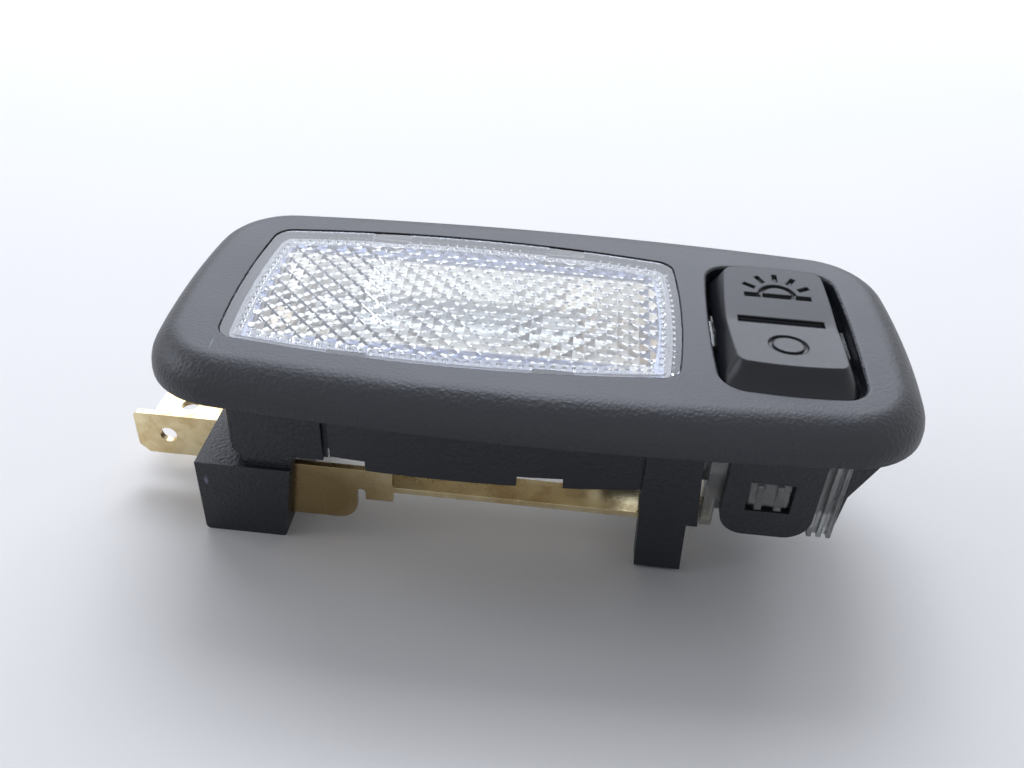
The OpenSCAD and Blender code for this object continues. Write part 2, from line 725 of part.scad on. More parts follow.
module rocker_button() {
    color("#26282d") at_hinge() difference() {
        union() {
            rocker_cap();
            translate([0, 0, -2.6]) cylinder(h = 6, r = 2.8, $fn = round_fn);
            for (s = [-1, 1]) {
                translate([s * 5.7, 0, 0.8]) cube([0.9, 6.4, 5.4], center = true);
                translate([s * 5.7, 0, 0]) rotate([0, s * 90, 0])
                    cylinder(h = carrier_w / 2 - 5.85, r = trunnion_r, $fn = round_fn);
            }
        }
        translate([0, 0, -5]) cylinder(h = 7.4, r = 1.6, $fn = round_fn);
        rocker_signs();
    }
}

// Pin with a round nose that presses on the see-saw
module plunger() {
    nose_r = 1.2;
    low = hinge_z - pivot_z - seesaw_t / 2 - 0.05;
    color("#eceae2") at_hinge() rotate_extrude($fn = round_fn) {
        polygon([[0, -3.4], [1.55, -3.4], [1.55, -0.4], [0.6, -0.4], [0.6, 0.6], [0, 0.6]]);
        polygon(concat([[0, -3.4], [0, -low]],
            [for (a = [-80:10:0]) [nose_r * cos(a), -low + nose_r + nose_r * sin(a)]], [[nose_r, -3.4]]));
    }
}

module plunger_spring() {
    wire = 0.17;
    turns = 4;
    color("#b8bcc2") at_hinge() translate([0, 0, -0.4 + wire])
        helix(1.2, (2.8 - 2 * wire) / turns, turns, wire, 14, 6);
}

// Clear box below the rocker: cheeks with the trunnion holes, catches for the tongues, ribs and supports
module switch_carrier() {
    wall = carrier_t;
    x = [switch_x - carrier_w / 2, switch_x + carrier_w / 2];
    y = carrier_y;
    color("#dde3e8", 0.5) at_bezel() difference() {
        union() {
            difference() {
                block([x[0], y[0], floor_z], [x[1], y[1], carrier_z]);
                block([x[0] + wall, y[0] + wall, floor_z + 1], [x[1] - wall, y[1] - wall, carrier_z + 1]);
            }
            // Cheeks
            for (s = [-1, 1])
                crossways(switch_x + s * (carrier_w / 2 - 0.6) - 0.6, 1.2) {
                    translate([switch_y - 3.4, floor_z]) square([6.8, hinge_z - floor_z - 0.6]);
                    translate([switch_y - 2.6, floor_z]) square([5.2, hinge_z - floor_z + 1.8]);
                }
            // Flanges that meet the collar
            for (s = [-1, 1])
                translate([switch_x + s * (carrier_w / 2 + 0.3), switch_y, collar_z - 0.5])
                    cube([1.4, 22, 1], center = true);
            // Catches in the windows of the tongues, each with two ribs
            for (side = [[y[0], -1], [y[1], 1]])
                translate([switch_x, side[0], 0]) mirror([0, side[1] > 0 ? 0 : 1, 0]) {
                    crossways(-2.3, 4.4) polygon([[-0.2, 12.5], [0.7, 12.5], [1.2, 13.2], [0.4, 16.2], [-0.2, 16.2]]);
                    for (s = [-1.2, 1])
                        block([s - 0.4, -0.2, 12.5], [s + 0.4, 1.35, 15.6]);
                }
            // Posts and ribs at the front corners
            block([20.8, y[0], 8], [22.1, post_back - 0.3, floor_z + 1]);
            block([33, y[0], 8.5], [x[1], y[0] + 2.2, floor_z + 1]);
            for (i = [0:2])
                block([33 + i * 1.1, y[0] - 0.7, 8.5], [33.5 + i * 1.1, y[0] + 0.2, 22]);
            // Seat under the rail, stop for the see-saw's free end
            block([x[0] + 1, -1.8, floor_z + 0.8], [switch_x + 3, 1.8, shelf_z]);
            block([switch_x - 1.2, switch_y + 4.8, floor_z + 0.8],
                [switch_x + 1.2, switch_y + 6.4, pivot_z - seesaw_t / 2 - 0.65]);
        }
        // Trunnion holes, the leg's corner, the strip's way in and the rail's way in
        translate([switch_x - 20, switch_y, hinge_z]) rotate([0, 90, 0]) cylinder(h = 40, r = 1.5, $fn = round_fn);
        both_sides() block([x[0] - 1, -15, 0], [leg_x[1] + gap, -10.8, 30]);
        block([x[0] - 1, post_back - 0.3, 0], [22.2, plate_y + run_w + 0.4, shelf_z + 0.2]);
        block([x[0] - 1, plate_y - 0.3, 0], [20.7, post_back, run_z + strip_t + 0.2]);
        block([x[0] - 1, -2.3, shelf_z], [x[0] + wall + 0.1, 2.3, shelf_z + strip_t + 0.1]);
        translate([switch_x, switch_y - seesaw_reach, floor_z + 0.5]) cylinder(h = 1, r = 1.2, $fn = small_fn);
    }
}

// Places a piece of the see-saw, drawn level about its pivot line, with its front end down
module at_pivot() {
    at_bezel() translate([switch_x, switch_y, pivot_z]) rotate([-rest_tilt, 0, 0]) children();
}

module contact_seesaw() {
    long = 2 * seesaw_reach + 3;
    color("#c07a4a") at_pivot() difference() {
        union() {
            translate([-seesaw_w / 2, -long / 2, -seesaw_t / 2]) cube([seesaw_w, long, seesaw_t]);
            for (s = [-1, 1])
                rotate([0, s * 90, 0]) translate([0, 0, 1.9]) cylinder(h = 1.7, r = 0.5, $fn = small_fn);
        }
        translate([0, -seesaw_reach, -1]) cylinder(h = 2, r = 0.6, $fn = small_fn);
    }
}

module seesaw_tip() {
    color("#d8dade") at_pivot() translate([0, -seesaw_reach, 0]) rotate_extrude($fn = small_fn)
        polygon([[0, -seesaw_t / 2 - tip_h], [contact_d / 2 - 0.2, -seesaw_t / 2 - tip_h],
            [contact_d / 2, -seesaw_t / 2 - tip_h + 0.2], [contact_d / 2, -seesaw_t / 2], [0.6, -seesaw_t / 2],
            [0.6, seesaw_t / 2], [1, seesaw_t / 2], [0.9, seesaw_t / 2 + 0.25], [0, seesaw_t / 2 + 0.25]]);
}

module supply_tip() {
    color("#d8dade") at_bezel() translate([switch_x, switch_y - seesaw_reach, shelf_z])
        rotate_extrude($fn = small_fn) polygon([[0, -strip_t - 0.2], [1, -strip_t - 0.2], [1, -strip_t],
            [0.7, -strip_t], [0.7, 0], [contact_d / 2, 0], [contact_d / 2, 0.4], [contact_d / 2 - 0.2, 0.6],
            [0, 0.6]]);
}

bezel_body();
lens();
reflector();
bulb_glass();
bulb_cap_left();
bulb_cap_right();
bulb_filament();
left_bulb_clip();
right_bulb_clip();
clip_rivets();
supply_busbar();
return_terminal();
lamp_rail();
rocker_button();
plunger();
plunger_spring();
switch_carrier();
contact_seesaw();
seesaw_tip();
supply_tip();
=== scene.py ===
import json
import math

import bmesh
import bpy
import numpy as np
from mathutils import Matrix


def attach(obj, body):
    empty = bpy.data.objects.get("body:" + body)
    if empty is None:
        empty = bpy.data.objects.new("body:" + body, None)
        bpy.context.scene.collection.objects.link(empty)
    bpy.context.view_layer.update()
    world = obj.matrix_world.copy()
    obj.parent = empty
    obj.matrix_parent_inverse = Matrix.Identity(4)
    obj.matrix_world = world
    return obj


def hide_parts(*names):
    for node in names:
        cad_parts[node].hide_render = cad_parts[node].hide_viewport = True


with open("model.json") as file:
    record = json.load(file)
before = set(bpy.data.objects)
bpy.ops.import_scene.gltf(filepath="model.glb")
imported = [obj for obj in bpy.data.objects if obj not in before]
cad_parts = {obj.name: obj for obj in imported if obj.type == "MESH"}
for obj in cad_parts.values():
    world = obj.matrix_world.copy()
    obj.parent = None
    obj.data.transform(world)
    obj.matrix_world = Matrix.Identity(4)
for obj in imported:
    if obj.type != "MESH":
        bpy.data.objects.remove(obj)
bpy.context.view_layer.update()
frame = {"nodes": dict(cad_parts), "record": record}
nodes = frame["nodes"]
bodyOf = {name: body for body, names in frame["record"]["behaviour"]["bodies"].items() for name in names}
mm = 0.001  # one millimetre in the frame's metres
print("frame loaded:", len(nodes), "nodes")


# One colour as sRGB hex, turned to the linear values that Blender's sockets take
def linear(hexColour):
    values = [int(hexColour[i : i + 2], 16) / 255 for i in (1, 3, 5)]
    values = [v / 12.92 if v <= 0.04045 else ((v + 0.055) / 1.055) ** 2.4 for v in values]
    return (*values, 1.0)


# Adds a node. Lower-case names in settings are its properties, the others and numbers are its inputs.
def addNode(tree, kind, settings=None, links=None):
    node = tree.nodes.new(kind)
    for name, value in (settings or {}).items():
        if isinstance(name, str) and name[0].islower():
            setattr(node, name, value)
        else:
            node.inputs[name].default_value = value
    for name, socket in (links or {}).items():
        tree.links.new(socket, node.inputs[name])
    return node


# A new material with its Principled shader and its Object coordinates
def startMaterial(name, **shaderInputs):
    material = bpy.data.materials.new(name)
    material.use_nodes = True
    tree = material.node_tree
    shader = next(n for n in tree.nodes if n.type == "BSDF_PRINCIPLED")
    for key, value in shaderInputs.items():
        shader.inputs[key.replace("_", " ")].default_value = value
    place = addNode(tree, "ShaderNodeTexCoord")
    return material, tree, shader, place.outputs["Object"]


# A pattern's scale from the size of one grain in millimetres
def grains(size):
    return 1 / (size * mm)


# How strongly one mark shows: most at its place, fading to nothing at the half axes of its size
def markAmount(tree, place, mark):
    spot = addNode(
        tree, "ShaderNodeMapping",
        {"vector_type": "TEXTURE", "Location": [v * mm for v in mark["place"]],
         "Rotation": (0.0, 0.0, math.radians(mark["turn"])), "Scale": [v * mm for v in mark["size"]]},
        {"Vector": place})
    fade = addNode(
        tree, "ShaderNodeTexGradient", {"gradient_type": "SPHERICAL"}, {"Vector": spot.outputs[0]})
    amount = addNode(
        tree, "ShaderNodeMath", {"operation": "MULTIPLY", "use_clamp": True, 1: mark["strength"]},
        {0: fade.outputs["Fac"]})
    return amount.outputs[0]


# Here and in the settings below, lengths are in millimetres
mouldedAbs = {
    "colour": "#1b1d23", "wornColour": "#24272f", "cloud": 9.0,
    "sheen": 0.43, "roughLow": 0.35, "roughHigh": 0.45,
    "grain": 0.42, "grainDepth": 0.062, "wander": 0.924, "wanderShift": 0.22,
    "sideRise": 0.9, "flatRise": 0.995, "flatGrain": 0.25,  # Z of the normal, and the grain left on flats
    "sand": 0.32, "sandDepth": 0.036, "edge": 0.14, "rubbed": "#727886",
}

# Marks of use on the bezel: a scratch left of the lens and a pale knock on the terminal block's front
marks = [
    {"place": (-30.93, -13.76, 28.0), "turn": 4.7, "size": (0.09, 1.45, 0.4), "strength": 1.1},
    {"place": (-34.3, -14.35, 8.1), "turn": 0.0, "size": (0.3, 0.3, 0.8), "strength": 1.6},
]


# Black ABS, injection moulded in a tool etched with a leather grain. The grain is fine on the flat top,
# where it breaks the light into a grey-blue sheen, and coarser on the rounded sides, where it glints.
# The moulding's edges are slightly rounded and show as thin lines.
def makeMouldedAbs(settings):
    material, tree, shader, place = startMaterial(
        "moulded black ABS", IOR=1.53, Specular_IOR_Level=settings["sheen"])
    wander = addNode(
        tree, "ShaderNodeTexNoise", {"Scale": grains(settings["wander"]), "Detail": 2.0}, {"Vector": place})
    shifted = addNode(
        tree, "ShaderNodeVectorMath",
        {"operation": "MULTIPLY_ADD", 1: [settings["wanderShift"] * mm] * 3},
        {0: wander.outputs["Color"], 2: place})
    pebbles = addNode(
        tree, "ShaderNodeTexVoronoi",
        {"feature": "SMOOTH_F1", "Scale": grains(settings["grain"]), "Smoothness": 0.6},
        {"Vector": shifted.outputs[0]})
    facing = addNode(tree, "ShaderNodeNewGeometry")
    rise = addNode(tree, "ShaderNodeSeparateXYZ", None, {0: facing.outputs["Normal"]})
    sides = addNode(
        tree, "ShaderNodeMapRange",
        {"From Min": settings["sideRise"], "From Max": settings["flatRise"],
         "To Min": 1.0, "To Max": settings["flatGrain"]},
        {"Value": rise.outputs["Z"]})
    coarse = addNode(
        tree, "ShaderNodeMath", {"operation": "MULTIPLY"},
        {0: pebbles.outputs["Distance"], 1: sides.outputs[0]})
    sand = addNode(
        tree, "ShaderNodeTexNoise", {"Scale": grains(settings["sand"]), "Detail": 3.0}, {"Vector": place})
    cloud = addNode(
        tree, "ShaderNodeTexNoise", {"Scale": grains(settings["cloud"]), "Detail": 4.0}, {"Vector": place})
    edges = addNode(tree, "ShaderNodeBevel", {"samples": 4, "Radius": settings["edge"] * mm})
    leather = addNode(
        tree, "ShaderNodeBump", {"Strength": 1.0, "Distance": settings["grainDepth"] * mm},
        {"Height": coarse.outputs[0], "Normal": edges.outputs[0]})
    bump = addNode(
        tree, "ShaderNodeBump", {"Strength": 1.0, "Distance": settings["sandDepth"] * mm},
        {"Height": sand.outputs["Fac"], "Normal": leather.outputs[0]})
    tone = addNode(
        tree, "ShaderNodeMix",
        {"data_type": "RGBA", 6: linear(settings["colour"]), 7: linear(settings["wornColour"])},
        {0: cloud.outputs["Fac"]})
    gloss = addNode(
        tree, "ShaderNodeMapRange", {"To Min": settings["roughLow"], "To Max": settings["roughHigh"]},
        {"Value": cloud.outputs["Fac"]})
    colour = tone.outputs[2]
    for mark in marks:
        rubbed = addNode(
            tree, "ShaderNodeMix", {"data_type": "RGBA", 7: linear(settings["rubbed"])},
            {0: markAmount(tree, place, mark), 6: colour})
        colour = rubbed.outputs[2]
    tree.links.new(colour, shader.inputs["Base Color"])
    tree.links.new(gloss.outputs[0], shader.inputs["Roughness"])
    tree.links.new(bump.outputs[0], shader.inputs["Normal"])
    return material


satinAbs = {
    "colour": "#1b1d22", "sheen": 0.28, "roughLow": 0.2, "roughHigh": 0.29,
    "ripple": 0.9, "rippleDepth": 0.004, "edge": 0.35,
}


# Black ABS from a tool with a fine satin finish: the rocker, smoother and a little glossier than the
# bezel, with rounded edges that catch a line of light
def makeSatinAbs(settings):
    material, tree, shader, place = startMaterial(
        "satin black ABS", IOR=1.53, Specular_IOR_Level=settings["sheen"],
        Base_Color=linear(settings["colour"]))
    ripple = addNode(
        tree, "ShaderNodeTexNoise", {"Scale": grains(settings["ripple"]), "Detail": 5.0}, {"Vector": place})
    edges = addNode(tree, "ShaderNodeBevel", {"samples": 6, "Radius": settings["edge"] * mm})
    bump = addNode(
        tree, "ShaderNodeBump", {"Strength": 1.0, "Distance": settings["rippleDepth"] * mm},
        {"Height": ripple.outputs["Fac"], "Normal": edges.outputs[0]})
    gloss = addNode(
        tree, "ShaderNodeMapRange", {"To Min": settings["roughLow"], "To Max": settings["roughHigh"]},
        {"Value": ripple.outputs["Fac"]})
    tree.links.new(gloss.outputs[0], shader.inputs["Roughness"])
    tree.links.new(bump.outputs[0], shader.inputs["Normal"])
    return material


naturalPolycarbonate = {
    "colour": "#bdbfbe", "clear": 0.8, "roughLow": 0.16, "roughHigh": 0.34,
    "streak": 1.6, "streakUp": 0.15, "streakDepth": 0.008,  # streakUp is the pattern's scale upwards
}


# Natural polycarbonate from a matt tool: the switch's carrier, see-through but grey and soft
def makeNaturalPolycarbonate(settings):
    material, tree, shader, place = startMaterial(
        "natural polycarbonate", IOR=1.58, Transmission_Weight=settings["clear"],
        Base_Color=linear(settings["colour"]))
    upright = addNode(
        tree, "ShaderNodeMapping", {"Scale": (1.0, 1.0, settings["streakUp"])}, {"Vector": place})
    streaks = addNode(
        tree, "ShaderNodeTexNoise", {"Scale": grains(settings["streak"]), "Detail": 3.0},
        {"Vector": upright.outputs[0]})
    bump = addNode(
        tree, "ShaderNodeBump", {"Strength": 1.0, "Distance": settings["streakDepth"] * mm},
        {"Height": streaks.outputs["Fac"]})
    gloss = addNode(
        tree, "ShaderNodeMapRange", {"To Min": settings["roughLow"], "To Max": settings["roughHigh"]},
        {"Value": streaks.outputs["Fac"]})
    tree.links.new(gloss.outputs[0], shader.inputs["Roughness"])
    tree.links.new(bump.outputs[0], shader.inputs["Normal"])
    return material


# Lets the lamps shine straight through a clear material, so that what lies behind it is lit
def letLampsIn(tree, shader):
    ray = addNode(tree, "ShaderNodeLightPath")
    free = addNode(tree, "ShaderNodeBsdfTransparent")
    surface = addNode(
        tree, "ShaderNodeMixShader", None,
        {0: ray.outputs["Is Shadow Ray"], 1: shader.outputs[0], 2: free.outputs[0]})
    output = next(n for n in tree.nodes if n.type == "OUTPUT_MATERIAL")
    tree.links.new(surface.outputs[0], output.inputs["Surface"])


clearPolycarbonate = {"colour": "#f4f7fa", "roughness": 0.03, "flow": 6.0, "flowDepth": 0.006}


# Clear polycarbonate from a polished tool: bright inside, with faint flow waves
def makeClearPolycarbonate(settings):
    material, tree, shader, place = startMaterial(
        "clear polycarbonate", IOR=1.58, Roughness=settings["roughness"], Transmission_Weight=1.0,
        Base_Color=linear(settings["colour"]))
    flow = addNode(
        tree, "ShaderNodeTexNoise", {"Scale": grains(settings["flow"]), "Detail": 1.0}, {"Vector": place})
    bump = addNode(
        tree, "ShaderNodeBump", {"Strength": 1.0, "Distance": settings["flowDepth"] * mm},
        {"Height": flow.outputs["Fac"]})
    tree.links.new(bump.outputs[0], shader.inputs["Normal"])
    letLampsIn(tree, shader)
    return material


lacqueredWhite = {
    "colour": "#fbf6ea", "shade": "#ebe7dd", "mottle": 5.0, "silver": 0.75, "roughness": 0.26,
    "flange": "#6c7186", "flangeLow": 24.5, "flangeHigh": 24.7,  # heights between which the painted shade sets in
}


# White polycarbonate under a silvery lacquer, half mirror: the reflector. It throws the light back in
# patches, which the prisms break into white and grey triangles. Above a set height, its flange under the
# lens's border is painted grey, as painted shade under the border.
def makeLacqueredWhite(settings):
    material, tree, shader, place = startMaterial(
        "lacquered white polycarbonate", IOR=1.58, Roughness=settings["roughness"],
        Metallic=settings["silver"])
    mottle = addNode(
        tree, "ShaderNodeTexNoise", {"Scale": grains(settings["mottle"]), "Detail": 3.0}, {"Vector": place})
    tone = addNode(
        tree, "ShaderNodeMix",
        {"data_type": "RGBA", 6: linear(settings["colour"]), 7: linear(settings["shade"])},
        {0: mottle.outputs["Fac"]})
    height = addNode(tree, "ShaderNodeSeparateXYZ", None, {0: place})
    flange = addNode(
        tree, "ShaderNodeMapRange",
        {"From Min": settings["flangeLow"] * mm, "From Max": settings["flangeHigh"] * mm},
        {"Value": height.outputs["Z"]})
    # Painted shade: the flange above the set height turns grey
    flangeShaded = addNode(
        tree, "ShaderNodeMix", {"data_type": "RGBA", 7: linear(settings["flange"])},
        {0: flange.outputs[0], 6: tone.outputs[2]})
    tree.links.new(flangeShaded.outputs[2], shader.inputs["Base Color"])
    return material


bulbGlass = {
    "colour": "#fbfdfd", "roughness": 0.0,
    "draw": 3.0, "drawAlong": 0.1, "drawDepth": 0.004,  # drawAlong is the pattern's scale along the tube
}


# Drawn soda glass of the bulb, with faint lines along the tube from drawing
def makeBulbGlass(settings):
    material, tree, shader, place = startMaterial(
        "drawn soda glass", IOR=1.52, Roughness=settings["roughness"], Transmission_Weight=1.0,
        Base_Color=linear(settings["colour"]))
    stretched = addNode(
        tree, "ShaderNodeMapping", {"Scale": (settings["drawAlong"], 1.0, 1.0)}, {"Vector": place})
    lines = addNode(
        tree, "ShaderNodeTexNoise", {"Scale": grains(settings["draw"])}, {"Vector": stretched.outputs[0]})
    bump = addNode(
        tree, "ShaderNodeBump", {"Strength": 1.0, "Distance": settings["drawDepth"] * mm},
        {"Height": lines.outputs["Fac"]})
    tree.links.new(bump.outputs[0], shader.inputs["Normal"])
    letLampsIn(tree, shader)
    return material


metals = {
    "rolled yellow brass":
        {"colour": "#efdfb4", "dull": "#bfa06a", "roughness": 0.22, "spread": 0.14, "cloud": 5.0},
    "phosphor bronze strip":
        {"colour": "#cdbfa9", "dull": "#a89883", "roughness": 0.25, "spread": 0.14, "cloud": 4.0},
    "rolled copper":
        {"colour": "#d58f6b", "dull": "#b06c4b", "roughness": 0.24, "spread": 0.14, "cloud": 4.0},
    "nickel plate":
        {"colour": "#c9c7c0", "dull": "#a9a8a3", "roughness": 0.14, "spread": 0.1, "cloud": 4.0},
    "tungsten wire":
        {"colour": "#8a8a8c", "dull": "#5d5d60", "roughness": 0.35, "spread": 0.1, "cloud": 1.0},
    "spring steel wire":
        {"colour": "#b3b5b8", "dull": "#8c8e92", "roughness": 0.2, "spread": 0.1, "cloud": 2.0},
    "silver contact":
        {"colour": "#e9e7e1", "dull": "#b9b6ae", "roughness": 0.22, "spread": 0.16, "cloud": 1.2},
}

# What all the metals share. Real rolling lines are finer, and are drawn as wide as they need to show.
bareMetal = {
    "line": 0.25, "lineAlong": 0.04, "lineDepth": 0.0015, "edge": 0.08,  # lineAlong is the scale along X
    "patchLow": 0.42, "patchHigh": 0.72,  # the values of the clouds between which the metal turns dull
}

# Painted shade: a brown darkening, deepest on the brass plate beside the terminal block, where the metal
# reflects the shadowed table. It lies on all metal near its place, and the blades stay bright.
blockShade = {
    "colour": "#94805a", "place": (-24.0, -12.5, 6.0), "turn": 0.0, "size": (17.0, 7.0, 10.0),
    "strength": 1.6,
}


# Bare metal from strip or wire: lines along X from rolling give it long streaks, and handling dulls it in
# clouds
def makeMetal(name, settings):
    material, tree, shader, place = startMaterial(name, Metallic=1.0)
    along = addNode(
        tree, "ShaderNodeMapping", {"Scale": (bareMetal["lineAlong"], 1.0, 1.0)}, {"Vector": place})
    rolling = addNode(
        tree, "ShaderNodeTexNoise", {"Scale": grains(bareMetal["line"]), "Detail": 4.0},
        {"Vector": along.outputs[0]})
    cloud = addNode(
        tree, "ShaderNodeTexNoise", {"Scale": grains(settings["cloud"]), "Detail": 5.0, "Roughness": 0.6},
        {"Vector": place})
    patch = addNode(
        tree, "ShaderNodeMapRange", {"From Min": bareMetal["patchLow"], "From Max": bareMetal["patchHigh"]},
        {"Value": cloud.outputs["Fac"]})
    tone = addNode(
        tree, "ShaderNodeMix",
        {"data_type": "RGBA", 6: linear(settings["colour"]), 7: linear(settings["dull"])},
        {0: patch.outputs[0]})
    gloss = addNode(
        tree, "ShaderNodeMapRange",
        {"To Min": settings["roughness"], "To Max": settings["roughness"] + settings["spread"]},
        {"Value": patch.outputs[0]})
    edges = addNode(tree, "ShaderNodeBevel", {"samples": 4, "Radius": bareMetal["edge"] * mm})
    bump = addNode(
        tree, "ShaderNodeBump", {"Strength": 1.0, "Distance": bareMetal["lineDepth"] * mm},
        {"Height": rolling.outputs["Fac"], "Normal": edges.outputs[0]})
    # Painted shade near the terminal block, laid over the metal's own colour
    blockShaded = addNode(
        tree, "ShaderNodeMix", {"data_type": "RGBA", 7: linear(blockShade["colour"])},
        {0: markAmount(tree, place, blockShade), 6: tone.outputs[2]})
    tree.links.new(blockShaded.outputs[2], shader.inputs["Base Color"])
    tree.links.new(gloss.outputs[0], shader.inputs["Roughness"])
    tree.links.new(bump.outputs[0], shader.inputs["Normal"])
    return material


naturalAcetal = {
    "colour": "#ebe8de", "shade": "#dedace", "mottle": 2.0, "roughness": 0.4, "milk": 0.3, "milkDepth": 0.5,
}


# Natural acetal, injection moulded: the plunger, milky and waxy, with a little light going through it
def makeNaturalAcetal(settings):
    material, tree, shader, place = startMaterial(
        "natural acetal", IOR=1.48, Roughness=settings["roughness"], Subsurface_Weight=settings["milk"],
        Subsurface_Scale=settings["milkDepth"] * mm)
    mottle = addNode(tree, "ShaderNodeTexNoise", {"Scale": grains(settings["mottle"])}, {"Vector": place})
    tone = addNode(
        tree, "ShaderNodeMix",
        {"data_type": "RGBA", 6: linear(settings["colour"]), 7: linear(settings["shade"])},
        {0: mottle.outputs["Fac"]})
    tree.links.new(tone.outputs[2], shader.inputs["Base Color"])
    return material


materials = {
    "moulded ABS": makeMouldedAbs(mouldedAbs),
    "satin ABS": makeSatinAbs(satinAbs),
    "clear polycarbonate": makeClearPolycarbonate(clearPolycarbonate),
    "natural polycarbonate": makeNaturalPolycarbonate(naturalPolycarbonate),
    "lacquered white": makeLacqueredWhite(lacqueredWhite),
    "bulb glass": makeBulbGlass(bulbGlass),
    "natural acetal": makeNaturalAcetal(naturalAcetal),
}
for metalName, settings in metals.items():
    materials[metalName] = makeMetal(metalName, settings)
print("materials made:", len(materials))


# The material of each CAD node, and the angle in degrees above which its edges stay sharp
finishes = {
    "bezel_body": ("moulded ABS", 28),
    "lens": ("clear polycarbonate", 12),
    "reflector": ("lacquered white", 25),
    "bulb_glass": ("bulb glass", 40),
    "bulb_cap_left": ("nickel plate", 30),
    "bulb_cap_right": ("nickel plate", 30),
    "left_bulb_clip": ("phosphor bronze strip", 30),
    "right_bulb_clip": ("phosphor bronze strip", 30),
    "clip_rivets": ("rolled yellow brass", 30),
    "supply_busbar": ("rolled yellow brass", 30),
    "return_terminal": ("rolled yellow brass", 30),
    "lamp_rail": ("rolled yellow brass", 30),
    "rocker_button": ("satin ABS", 28),
    "plunger": ("natural acetal", 30),
    "plunger_spring": ("spring steel wire", 75),
    "switch_carrier": ("natural polycarbonate", 25),
    "contact_seesaw": ("rolled copper", 30),
    "seesaw_tip": ("silver contact", 30),
    "supply_tip": ("silver contact", 30),
}


# A mesh as an object that takes the place of a CAD node: it moves with the node's body
def takePlace(nodeName, pieceName, mesh):
    piece = bpy.data.objects.new(pieceName, mesh)
    bpy.context.scene.collection.objects.link(piece)
    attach(piece, bodyOf[nodeName])
    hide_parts(nodeName)
    return piece


# Points closer than join become one, and faces that lie within flat degrees of each other become one. The
# weight is how far a large face outweighs a small one in the evened normals.
dressing = {"join": 0.002, "flat": 0.4, "weight": 90}


# A copy of a CAD node. Its triangles are joined and each flat is made one face, so that the light runs
# evenly over it, and the evened normals keep the flats flat beside their fillets.
def dress(nodeName, material, sharpAngle, settings):
    source = nodes[nodeName].data
    points = np.empty(len(source.vertices) * 3)
    source.vertices.foreach_get("co", points)
    corners = [tuple(polygon.vertices) for polygon in source.polygons]
    mesh = bpy.data.meshes.new(nodeName + "_dressed")
    mesh.from_pydata(points.reshape(-1, 3).tolist(), [], corners)
    work = bmesh.new()
    work.from_mesh(mesh)
    bmesh.ops.remove_doubles(work, verts=work.verts, dist=settings["join"] * mm)
    bmesh.ops.dissolve_limit(
        work, angle_limit=math.radians(settings["flat"]), verts=work.verts, edges=work.edges)
    for face in work.faces:
        face.smooth = True
    work.to_mesh(mesh)
    work.free()
    mesh.set_sharp_from_angle(angle=math.radians(sharpAngle))
    mesh.materials.append(material)
    piece = takePlace(nodeName, nodeName + "_dressed", mesh)
    evened = piece.modifiers.new("even normals", "WEIGHTED_NORMAL")
    evened.keep_sharp = True
    evened.weight = settings["weight"]


for nodeName, (finish, sharpAngle) in finishes.items():
    dress(nodeName, materials[finish], sharpAngle, dressing)
print("nodes dressed:", len(finishes))


# A round wire along a path of points, its radius given point by point. Each ring is the point plus the
# radius times (cosine of the turn times one side of the path plus sine of the turn times the other side).
# The path never runs upright, so its side is the level line square to it.
def wire(path, radii, sides):
    along = np.gradient(path, axis=0)
    along /= np.linalg.norm(along, axis=1, keepdims=True)
    side = np.cross(along, (0.0, 0.0, 1.0))
    side /= np.linalg.norm(side, axis=1, keepdims=True)
    other = np.cross(side, along)
    turn = np.linspace(0, 2 * np.pi, sides, endpoint=False)[None, :, None]
    spokes = np.cos(turn) * side[:, None, :] + np.sin(turn) * other[:, None, :]
    rings = path[:, None, :] + radii[:, None, None] * spokes
    count = len(path)
    ringStarts = np.arange(count - 1)[:, None] * sides
    first = (ringStarts + np.arange(sides)[None, :]).ravel()
    second = (ringStarts + (np.arange(sides)[None, :] + 1) % sides).ravel()
    walls = np.stack([first, second, second + sides, first + sides], axis=1)
    ends = [list(range(sides))[::-1], list(range((count - 1) * sides, count * sides))]
    return rings.reshape(-1, 3), walls.tolist() + ends


# The bulb's filament: a tungsten coil on the bulb's axis, with straight leads out to both caps
filament = {
    "middle": (-5.925, 0.0, 19.0), "coil": 13.0, "coilRadius": 0.45, "wireRadius": 0.07,
    "turns": 16, "easeTurns": 0.5, "steps": 20,  # points per turn
    "leadStart": 6.75, "leadEnd": 17.6, "leadRadius": 0.11, "leadSteps": 12,
    "sides": 10, "sharpAngle": 60,
}


# With t from 0 to 1, the coil runs along X, and Y and Z are its radius times the sine and cosine of t times
# the turns. Over the first and last part of a turn the radius grows from nothing, to meet the leads.
def makeFilament(nodeName, material, settings):
    steps = settings["turns"] * settings["steps"] + 1
    t = np.linspace(0, 1, steps)
    angle = 2 * np.pi * settings["turns"] * t
    ease = np.minimum(1.0, np.minimum(t, 1 - t) * settings["turns"] / settings["easeTurns"])
    reach = ease * settings["coilRadius"]
    coil = np.stack([(t - 0.5) * settings["coil"], reach * np.sin(angle), reach * np.cos(angle)], axis=1)
    leads = np.linspace(settings["leadStart"], settings["leadEnd"], settings["leadSteps"])
    left = np.stack([-leads[::-1], 0 * leads, 0 * leads], axis=1)
    right = np.stack([leads, 0 * leads, 0 * leads], axis=1)
    path = np.concatenate([left, coil, right]) + np.array(settings["middle"])
    leadRadii = np.full(settings["leadSteps"], settings["leadRadius"])
    radii = np.concatenate([leadRadii, np.full(steps, settings["wireRadius"]), leadRadii])
    points, faces = wire(path, radii, settings["sides"])
    mesh = bpy.data.meshes.new(nodeName + "_wire")
    mesh.from_pydata((points * mm).tolist(), [], faces)
    mesh.shade_smooth()
    mesh.set_sharp_from_angle(angle=math.radians(settings["sharpAngle"]))
    mesh.materials.append(material)
    takePlace(nodeName, nodeName + "_wire", mesh)


makeFilament("bulb_filament", materials["tungsten wire"], filament)
print("filament made")


